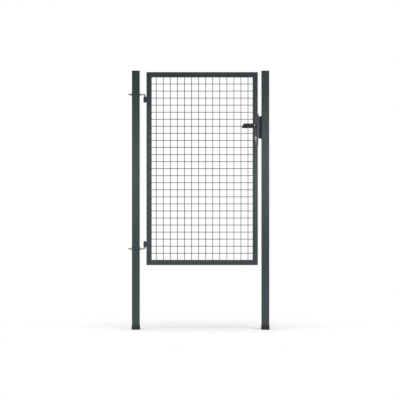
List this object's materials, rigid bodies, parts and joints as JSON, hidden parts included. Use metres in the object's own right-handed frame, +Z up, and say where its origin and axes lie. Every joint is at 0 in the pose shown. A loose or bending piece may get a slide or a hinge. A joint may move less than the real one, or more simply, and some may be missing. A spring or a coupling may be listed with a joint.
{
  "type": "fence gate",
  "caption": "Single-leaf fence gate: framed welded-mesh leaf on rod hinges between two square posts, with lever lock, cylinder, keys and keep.",
  "frame": {"origin": "centre of the underside of the hinge post's foot", "axes": "+Z up along the hinge post, +X from the hinge post to the latch post, -Y to the front, the side that the leaf opens towards"},
  "size_m": [1.09, 0.154, 2],
  "materials": {
    "post_coat": "satin anthracite powder coat on galvanised steel tube",
    "frame_coat": "satin anthracite powder coat on galvanised steel tube and wire",
    "black_plastic": "matt black moulded plastic",
    "zinc": "bright zinc plate, slightly yellowed",
    "barrel_coat": "satin dark grey powder coat",
    "lock_grey": "satin mid grey coat",
    "plate_coat": "satin dark grey coat",
    "keep_black": "near-black glass-filled plastic",
    "nickel": "satin nickel plate"
  },
  "bodies": {
    "posts": {"hinge_post": "post_coat", "latch_post": "post_coat", "hinge_post_foot": "black_plastic", "latch_post_foot": "black_plastic", "hinge_post_cap": "black_plastic", "latch_post_cap": "black_plastic", "upper_hinge_rod": "zinc", "lower_hinge_rod": "zinc", "upper_hinge_washers": "zinc", "lower_hinge_washers": "zinc", "upper_hinge_nuts": "zinc", "lower_hinge_nuts": "zinc", "keep": "keep_black", "keep_screws": "zinc"},
    "leaf": {"top_rail": "frame_coat", "bottom_rail": "frame_coat", "hinge_stile": "frame_coat", "latch_stile": "frame_coat", "mesh_infill": "frame_coat", "upper_hinge_barrel": "barrel_coat", "lower_hinge_barrel": "barrel_coat", "lock_case": "zinc", "lock_forend": "lock_grey", "front_back_plate": "plate_coat", "rear_back_plate": "plate_coat", "plate_screws": "keep_black", "lock_cylinder": "nickel", "rear_plug": "nickel", "cylinder_screw": "zinc"},
    "levers": {"front_lever": "black_plastic", "rear_lever": "black_plastic", "spindle": "zinc"},
    "latch": {"latch_bolt": "nickel"},
    "dead_bolt": {"dead_bolt": "nickel"},
    "key": {"front_plug": "nickel", "key": "nickel", "key_ring": "zinc", "spare_keys": "nickel"}
  },
  "joints": [
    {"name": "leaf_swing", "type": "hinge", "parent": "posts", "child": "leaf", "pos_m": [0.07, 0, 0.659], "axis": [0, 0, -1], "range_deg": [0, 90]},
    {"name": "lever_turn", "type": "hinge", "parent": "leaf", "child": "levers", "pos_m": [0.924, 0, 1.574], "axis": [0, -1, 0], "range_deg": [0, 40], "stiffness_Nm_per_rad": 1.5, "springref_deg": -17.19},
    {"name": "latch_slide", "type": "slide", "parent": "leaf", "child": "latch", "axis": [1, 0, 0], "range_m": [0, 0.012]},
    {"name": "key_turn", "type": "hinge", "parent": "leaf", "child": "key", "pos_m": [0.924, 0, 1.482], "axis": [0, 1, 0], "range_deg": [0, 360]},
    {"name": "dead_bolt_slide", "type": "slide", "parent": "leaf", "child": "dead_bolt", "axis": [1, 0, 0], "range_m": [0, 0.012]}
  ],
  "couplings": [
    {"joint": "key_turn", "follows": "dead_bolt_slide", "rad_per_m": 523.59}
  ]
}
